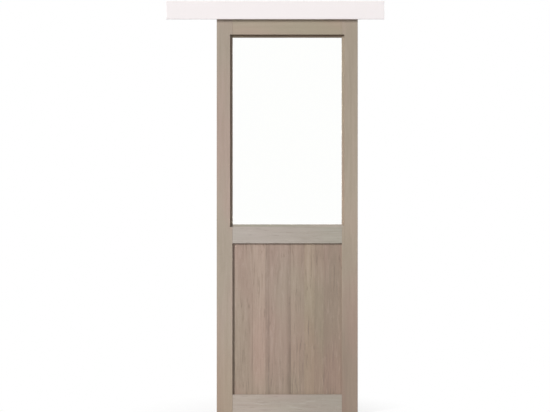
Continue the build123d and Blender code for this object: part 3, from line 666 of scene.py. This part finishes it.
# Bead pins: fine steel pins driven through the beads and punched under the surface. A plug of
# wax in the stain's colour, wiped off level with a slight hollow, hides each head.
def metal(name, colour, roughness, per_metre, stretch=(1, 1, 1), relief=0.00002, bloom=0.1):
    """Bare or plated metal with lines or spangle in its surface and a faint bloom."""
    plate = Finish(name, {"Metallic": 1})
    lines = plate.noise(plate.place(stretch), per_metre, detail=3, roughness=0.65)
    patches = plate.noise(plate.place(), per_metre=45, detail=3)
    dull = [part * (1 - bloom) for part in colour]
    shade = plate.mix(plate.levels(patches, 0.35, 0.65), dull, colour)
    sheen = plate.levels(lines, 0.3, 0.7, dark=roughness - 0.08, light=roughness + 0.1)
    plate.set(plate.shader, {"Base Color": shade, "Roughness": sheen})
    plate.bump(lines, relief)
    return plate


pin_steel = metal(
    "pin_steel", (0.55, 0.55, 0.56), roughness=0.4, per_metre=2000, stretch=(0.1, 1, 1)
)
dress(["bead_pins"], pin_steel)

filler_wax = moulded(
    "filler_wax", (0.31, 0.255, 0.205), roughness=0.4, per_metre=2500, relief=0.00002
)
plug_depth = 0.001
plug_radius = 0.0006
plug_hollow = 0.0001
shortest_pin = plug_depth * 5
pane_low, pane_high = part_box("glass_pane")
pane_middle = (pane_low + pane_high) / 2
for side, axis, inward in (("left", 0, 1), ("right", 0, -1), ("bottom", 2, 1), ("top", 2, -1)):
    heads = []
    for low, high in solid_boxes("bead_pins"):
        head = (low + high) / 2
        along_axis = high[axis] - low[axis] > shortest_pin
        if along_axis and (head[axis] - pane_middle[axis]) * inward < 0:
            head[axis] = high[axis] if inward > 0 else low[axis]
            heads.append(head)
    plugs = turned(
        f"wax_plugs_{side}",
        heads,
        [inward if index == axis else 0 for index in range(3)],
        [
            (plug_hollow, plug_radius),
            (plug_depth, plug_radius),
            (plug_depth - plug_hollow, plug_radius / 2),
        ],
        sides=16,
    )
    plugs.data.materials.append(filler_wax.material)
    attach(plugs, frame["nodes"]["bead_pins"]["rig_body"])


# Hanger plates: zinc-plated steel strips folded into a hat that clears the bolt's head, open at
# the front so that the leaf can be slid onto the hanging bolts. Four wood screws hold each.
zinc_sheet = metal(
    "zinc_sheet",
    (0.63, 0.64, 0.66),
    roughness=0.36,
    per_metre=420,
    stretch=(0.25, 1, 1),
    bloom=0.14,
)
dress(["hanger_plate_left", "hanger_plate_right"], zinc_sheet, rounding=0.0004)


def cross(arm, half_width):
    """The outline of a cross-shaped driver recess."""

    def outline(angle):
        most = max(abs(cos(angle)), abs(sin(angle)))
        least = min(abs(cos(angle)), abs(sin(angle)))
        return min(arm / most, half_width / max(least, 1e-6))

    return outline


def thread(radius, depth, pitch, start, end, sharpness=1):
    """Stations of a right-hand screw thread that runs out at both ends."""
    rings_in_a_turn = 6
    count = round((end - start) / pitch * rings_in_a_turn)

    def ridge(along, fade):
        def outline(angle):
            rise = abs(2 * ((along / pitch - angle / tau) % 1) - 1)
            return radius - depth + depth * fade * rise**sharpness

        return outline

    stations = []
    for index in range(count + 1):
        along = start + (end - start) * index / count
        fade = min(1, index / rings_in_a_turn, (count - index) / rings_in_a_turn)
        stations.append((along, ridge(along, fade)))
    return stations


wood_thread_sharpness = 3
screw_head_radius = 0.004
screw_head_depth = 0.0024
screw_head_edge = 0.0001
screw_root = 0.0016
screw_neck = 0.004
screw_radius = 0.002
screw_core = 0.0013
screw_taper = 0.0275
screw_length = 0.03
screw_tip = 0.0001
screw_recess_depth = 0.0017
screw_recess = cross(arm=0.0021, half_width=0.00045)
screw_recess_floor = cross(arm=0.0012, half_width=0.0003)
screw_places = solid_boxes("hanger_plate_screws")
countersunk_screws = turned(
    "countersunk_screws",
    [((low.x + high.x) / 2, (low.y + high.y) / 2, high.z) for low, high in screw_places],
    (0, 0, -1),
    [
        (screw_recess_depth, screw_recess_floor),
        (0, screw_recess),
        (0, screw_head_radius - screw_head_edge),
        (screw_head_edge * 1.5, screw_head_radius - screw_head_edge / 2),
        (screw_head_depth, screw_root),
        (screw_neck, screw_core),
        *thread(
            screw_radius,
            depth=screw_radius - screw_core,
            pitch=0.0018,
            start=0.0045,
            end=0.0265,
            sharpness=wood_thread_sharpness,
        ),
        (screw_taper, screw_core * 0.8),
        (screw_length, screw_tip),
    ],
    sides=32,
)
zinc_screw = metal(
    "zinc_screw", (0.68, 0.68, 0.69), roughness=0.3, per_metre=900, stretch=(1, 1, 0.3)
)
stand_in(countersunk_screws, "hanger_plate_screws", zinc_screw)


# Hanger bolts and lock nuts: plated hexagon bolts that carry the leaf. Turning a bolt in its
# trolley sets the leaf's height, and the nut below is run down on the plate to hold it.
def flats(across, count, turned_by=0.0):
    """The outline of a bar with flat sides, as a radius for each angle."""
    step = tau / count

    def outline(angle):
        return across / 2 / cos((angle + turned_by) % step - step / 2)

    return outline


def crowned(across, end, inward):
    """Two stations at one end of a hexagon, where its corners are turned off at a slant."""
    crown_share = 0.96
    crown_slant = radians(30)
    corner = flats(across, 6)
    crown = across / 2 * crown_share

    def fallen(angle):
        return end + inward * (corner(angle) - crown) * tan(crown_slant)

    return [(end, crown), (fallen, corner)]


bolt_radius = 0.004
bolt_pitch = 0.00125
bolt_thread_depth = 0.0007
bolt_end_bevel = 0.0003
bolt_shank = 0.008
head_across = 0.013
head_height = 0.0055
nut_height = 0.005
nut_bore = bolt_radius + 0.00002
nut_bevel = 0.0004
for side in ("left", "right"):
    low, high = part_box(f"hanger_bolt_{side}")
    reach = high.z - low.z
    bolt = turned(
        f"hexagon_bolt_{side}",
        [((low.x + high.x) / 2, 0, low.z)],
        (0, 0, 1),
        [
            *crowned(head_across, end=0, inward=1),
            (head_height, flats(head_across, 6)),
            (head_height, bolt_radius),
            (bolt_shank, bolt_radius),
            *thread(
                bolt_radius,
                depth=bolt_thread_depth,
                pitch=bolt_pitch,
                start=bolt_shank + 0.0002,
                end=reach - 0.001,
            ),
            (reach, bolt_radius - bolt_thread_depth - bolt_end_bevel),
        ],
        sides=48,
    )
    stand_in(bolt, f"hanger_bolt_{side}", zinc_screw)
    low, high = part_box(f"lock_nut_{side}")
    nut = turned(
        f"thin_nut_{side}",
        [((low.x + high.x) / 2, 0, low.z)],
        (0, 0, 1),
        [
            (nut_bevel, nut_bore),
            (0, nut_bore + nut_bevel),
            *crowned(head_across, end=0, inward=1),
            *reversed(crowned(head_across, end=nut_height, inward=-1)),
            (nut_height, nut_bore + nut_bevel),
            (nut_height - nut_bevel, nut_bore),
        ],
        sides=48,
        closed=True,
    )
    stand_in(nut, f"lock_nut_{side}", zinc_screw)


# Trolleys: die-cast zinc arms with a boss for the hanging bolt, two riveted steel axles each,
# and four nylon wheels whose long hubs keep the treads clear of the arm.
cast_zinc = metal(
    "cast_zinc", (0.5, 0.5, 0.51), roughness=0.5, per_metre=1300, relief=0.00006, bloom=0.2
)
dress(["trolley_body_left", "trolley_body_right"], cast_zinc, rounding=0.0005)
axle_steel = metal(
    "axle_steel", (0.66, 0.66, 0.67), roughness=0.26, per_metre=1600, stretch=(1, 0.05, 1)
)
dress(["trolley_axles_left", "trolley_axles_right"], axle_steel, rounding=0.0002)

wheel_nylon = moulded(
    "wheel_nylon",
    (0.8, 0.785, 0.74),
    roughness=0.42,
    per_metre=900,
    relief=0.00002,
    mottle=0.08,
)
wheels = [name for name in frame["nodes"] if name.startswith("wheel_")]
dress(wheels, wheel_nylon, rounding=0.0002)


# Track: an aluminium extrusion in natural anodised finish, cut to length. Fine lines from the
# die run along it, inside and out.
anodised = metal(
    "anodised_extrusion",
    (0.6, 0.605, 0.62),
    roughness=0.32,
    per_metre=700,
    stretch=(0.004, 1, 1),
    bloom=0.08,
)
dress(["track"], anodised)


# Wall brackets: folded zinc-plated steel. A hexagon bolt through each bracket draws a square
# nut up under the lips of the track's top channel.
brackets = [name for name in frame["nodes"] if name.startswith("wall_bracket_")]
dress(brackets, zinc_sheet, rounding=0.0004)

bracket_bolt_across = 0.01
bracket_bolt_head = 0.004
bracket_bolt_radius = 0.003
bracket_bolt_tip = 0.0022
bracket_bolts = solid_boxes("bracket_bolts")
bolt_reach = bracket_bolts[0][1].z - bracket_bolts[0][0].z
hexagon_bolts = turned(
    "bracket_hexagon_bolts",
    [((low.x + high.x) / 2, 0, high.z) for low, high in bracket_bolts],
    (0, 0, -1),
    [
        *crowned(bracket_bolt_across, end=0, inward=1),
        (bracket_bolt_head, flats(bracket_bolt_across, 6)),
        (bracket_bolt_head, bracket_bolt_radius),
        *thread(
            bracket_bolt_radius,
            depth=0.00055,
            pitch=0.001,
            start=bracket_bolt_head + 0.001,
            end=bolt_reach - 0.001,
        ),
        (bolt_reach, bracket_bolt_tip),
    ],
    sides=48,
)
stand_in(hexagon_bolts, "bracket_bolts", zinc_screw)

square_nut_height = 0.005
square_nut_bore = 0.00302
square_nut_mouth = 0.0034
square_nut_bevel = 0.0004
square_nut_shoulder = 0.0008
square_nut_crown = 0.0052
square_nut_across = 0.01
square = flats(square_nut_across, 4, turned_by=pi / 4)
square_nuts = turned(
    "square_nuts",
    [((low.x + high.x) / 2, 0, low.z) for low, high in solid_boxes("track_nuts")],
    (0, 0, 1),
    [
        (square_nut_bevel, square_nut_bore),
        (0, square_nut_mouth),
        (0, square),
        (square_nut_height - square_nut_shoulder, square),
        (square_nut_height, lambda angle: min(square(angle), square_nut_crown)),
        (square_nut_height, square_nut_mouth),
        (square_nut_height - square_nut_bevel, square_nut_bore),
    ],
    sides=48,
    closed=True,
)
stand_in(square_nuts, "track_nuts", zinc_screw)


# Pelmet: boards of lacquered fibreboard, screwed to the brackets from inside. The spray leaves
# a faint orange peel under a satin sheen, and the front board's arrises are rounded.
thin_film = (0.932, 0.876, 0.878)
full_film = (0.952, 0.898, 0.897)
peel_depth = 0.00003
lacquer = Finish("white_lacquer", {"Specular IOR Level": 0.4})
peel = lacquer.noise(lacquer.place(), per_metre=420, detail=2, roughness=0.4)
film = lacquer.noise(lacquer.place(stretch=(0.3, 1, 1)), per_metre=4, detail=3)
film_colour = lacquer.mix(lacquer.levels(film, 0.3, 0.7), thin_film, full_film)
film_sheen = lacquer.levels(film, 0.3, 0.7, dark=0.34, light=0.44)
lacquer.set(lacquer.shader, {"Base Color": film_colour, "Roughness": film_sheen})
lacquer.bump(peel, peel_depth)
dress(["pelmet_front"], lacquer)
dress(["pelmet_top", "pelmet_end_left", "pelmet_end_right"], lacquer, rounding=0.0006)

pelmet_screws = solid_boxes("pelmet_screws")
pan_head_height = 0.0022
pan_head_radius = 0.0035
pan_head_dome = ((0, 0.0019), (0.0004, 0.0028), (0.0011, 0.0034))
pan_recess_depth = 0.0013
pan_radius = 0.00175
pan_core = 0.0012
pan_taper = 0.0012
pan_point = 0.001
pan_length = pelmet_screws[0][1].y - pelmet_screws[0][0].y
pan_head_screws = turned(
    "pan_head_screws",
    [((low.x + high.x) / 2, high.y, (low.z + high.z) / 2) for low, high in pelmet_screws],
    (0, -1, 0),
    [
        (pan_recess_depth, cross(arm=0.001, half_width=0.0003)),
        (0, cross(arm=0.0017, half_width=0.0004)),
        *pan_head_dome,
        (pan_head_height, pan_head_radius),
        (pan_head_height, pan_core),
        *thread(
            pan_radius,
            depth=0.00055,
            pitch=0.0014,
            start=pan_head_height + 0.0004,
            end=pan_length - 0.002,
            sharpness=wood_thread_sharpness,
        ),
        (pan_length - pan_taper, pan_point),
        (pan_length, screw_tip),
    ],
    sides=32,
)
stand_in(pan_head_screws, "pelmet_screws", zinc_screw)


# End stops: die-cast blocks that stand on the track's running lips, each jacked against the
# track's ceiling by a blackened socket screw. A rubber buffer plugs into the inner end.
dress(["stop_left", "stop_right"], cast_zinc, rounding=0.0004)
rubber = moulded(
    "buffer_rubber",
    (0.028, 0.028, 0.03),
    roughness=0.72,
    per_metre=1200,
    relief=0.00006,
    mottle=0.25,
)
dress(["stop_buffer_left", "stop_buffer_right"], rubber, rounding=0.0002)

grub_radius = 0.0025
grub_rim = 0.002
grub_tip = 0.0018
grub_bevel = 0.0004
grub_pitch = 0.0008
socket_depth = 0.0025
socket_flats = flats(0.0025, 6)
stop_screws = solid_boxes("stop_screws")
grub_length = stop_screws[0][1].z - stop_screws[0][0].z
grub_screws = turned(
    "socket_grub_screws",
    [((low.x + high.x) / 2, 0, low.z) for low, high in stop_screws],
    (0, 0, 1),
    [
        (socket_depth, socket_flats),
        (0, socket_flats),
        (0, grub_rim),
        *thread(
            grub_radius,
            depth=0.00045,
            pitch=grub_pitch,
            start=grub_bevel,
            end=grub_length - 0.0008,
        ),
        (grub_length - grub_bevel, grub_rim),
        (grub_length, grub_tip),
    ],
    sides=48,
)
black_steel = metal("black_steel", (0.11, 0.11, 0.115), roughness=0.42, per_metre=1200)
stand_in(grub_screws, "stop_screws", black_steel)


# Floor guide: a moulded nylon foot screwed to the floor, whose fin keeps the leaf's lower edge
# in line. The leaf's groove hides all but its base.
guide_nylon = moulded(
    "guide_nylon", (0.17, 0.17, 0.175), roughness=0.5, per_metre=1400, relief=0.00005
)
dress(["floor_guide"], guide_nylon, rounding=0.0004)
